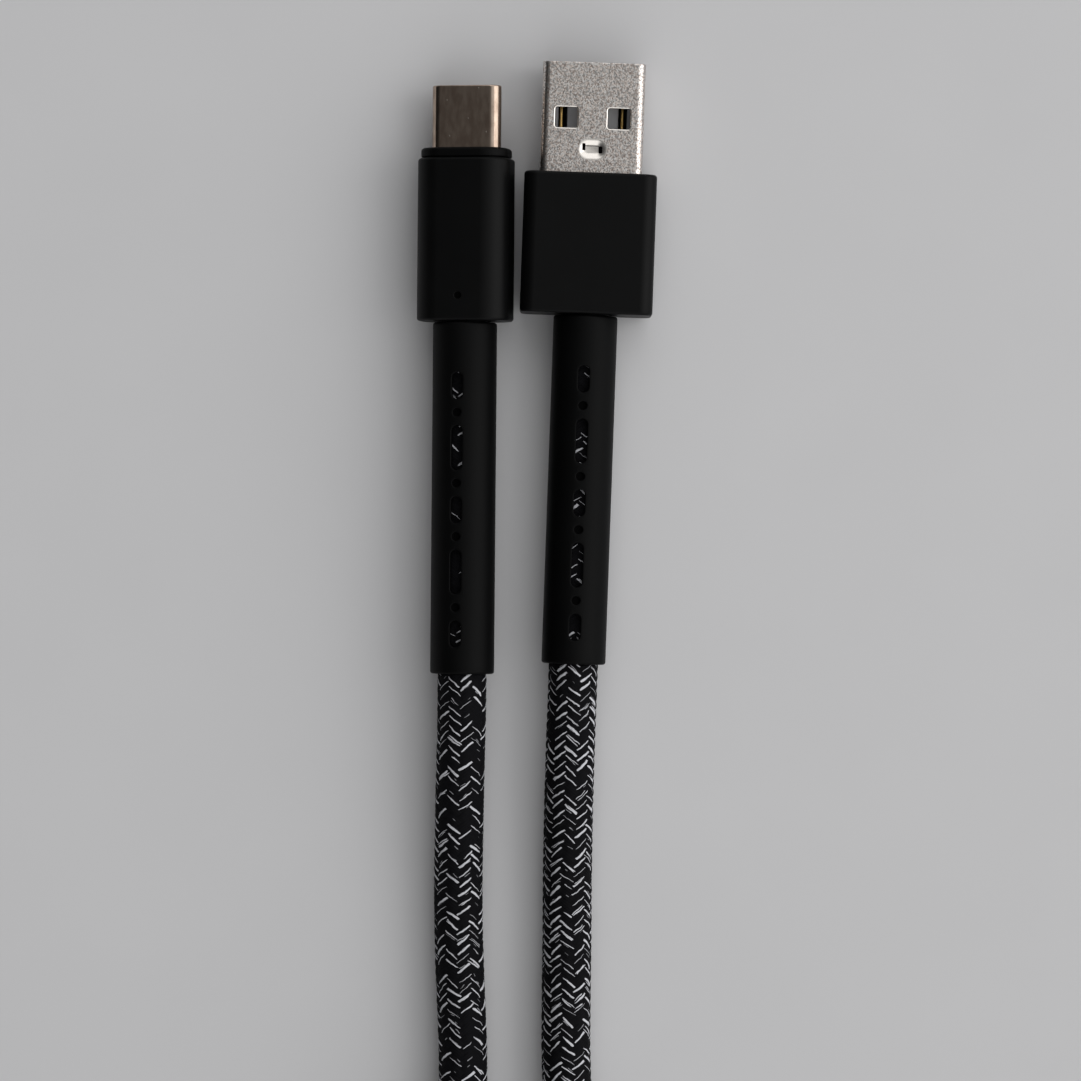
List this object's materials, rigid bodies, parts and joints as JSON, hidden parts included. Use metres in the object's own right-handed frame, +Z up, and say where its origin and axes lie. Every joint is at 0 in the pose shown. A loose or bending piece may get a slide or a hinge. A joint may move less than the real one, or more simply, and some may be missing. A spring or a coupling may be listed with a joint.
{
  "type": "charging cable",
  "caption": "Braided charging cable with a USB-A plug and a USB-C plug, each with a slotted strain-relief sleeve, the spare cord folded into a tied hank.",
  "frame": {"origin": "on the table that the cable lies on, midway between the outer sides of the two plugs and midway between the plugs' tips and the mouths of their sleeves", "axes": "+Z up from the table, +Y along the plugs towards their tips, +X from the USB-C plug towards the USB-A plug"},
  "size_m": [0.0517, 0.2369, 0.015],
  "materials": {
    "usb_a_metal": "nickel plate, satin with a fine grain",
    "usb_c_metal": "dark nickel plate, polished",
    "usb_a_insulator": "moulded grey",
    "usb_c_insulator": "moulded black",
    "contact_gold": "gold plate",
    "inner_steel": "plain sheet",
    "inner_mould": "moulded black",
    "housing": "matte black, soft satin on the edges",
    "sleeve": "matte black elastomer",
    "braid": "black herringbone braid with silver-white tracer threads",
    "jacket": "plain black",
    "crimp": "plain",
    "board": "green solder mask",
    "resistor": "ceramic chip",
    "wire_red": "insulated wire",
    "wire_white": "insulated wire",
    "wire_green": "insulated wire",
    "wire_black": "insulated wire",
    "tie": "black hook-and-loop strap"
  },
  "bodies": {
    "root": {"usb_a_shell": "usb_a_metal", "usb_a_insulator": "usb_a_insulator", "usb_a_contact_vbus": "contact_gold", "usb_a_contact_d_minus": "contact_gold", "usb_a_contact_d_plus": "contact_gold", "usb_a_contact_gnd": "contact_gold", "usb_a_rear_shield": "inner_steel", "usb_a_inner_mould": "inner_mould", "usb_a_housing": "housing", "usb_a_sleeve": "sleeve", "usb_a_braid_end": "braid", "usb_a_jacket_end": "jacket", "usb_a_crimp_ferrule": "crimp", "usb_a_wire_red": "wire_red", "usb_a_wire_white": "wire_white", "usb_a_wire_green": "wire_green", "usb_a_wire_black": "wire_black", "usb_c_shell": "usb_c_metal", "usb_c_insulator": "usb_c_insulator", "usb_c_latch": "inner_steel", "usb_c_ground_spring_top": "inner_steel", "usb_c_ground_spring_under": "inner_steel", "usb_c_contact_a1_gnd": "contact_gold", "usb_c_contact_a4_vbus": "contact_gold", "usb_c_contact_a5_cc": "contact_gold", "usb_c_contact_a6_d_plus": "contact_gold", "usb_c_contact_a7_d_minus": "contact_gold", "usb_c_contact_a9_vbus": "contact_gold", "usb_c_contact_a12_gnd": "contact_gold", "usb_c_contact_b1_gnd": "contact_gold", "usb_c_contact_b4_vbus": "contact_gold", "usb_c_contact_b9_vbus": "contact_gold", "usb_c_contact_b12_gnd": "contact_gold", "usb_c_board": "board", "usb_c_pull_up_resistor": "resistor", "usb_c_wire_red": "wire_red", "usb_c_wire_green": "wire_green", "usb_c_wire_black": "wire_black", "usb_c_wire_white": "wire_white", "usb_c_rear_shield": "inner_steel", "usb_c_inner_mould": "inner_mould", "usb_c_housing": "housing", "usb_c_sleeve": "sleeve", "usb_c_braid_end": "braid", "usb_c_jacket_end": "jacket", "usb_c_crimp_ferrule": "crimp", "cord_hank": "braid", "cord_run_a": "braid", "cord_run_c": "braid", "cable_tie": "tie"}
  },
  "joints": []
}
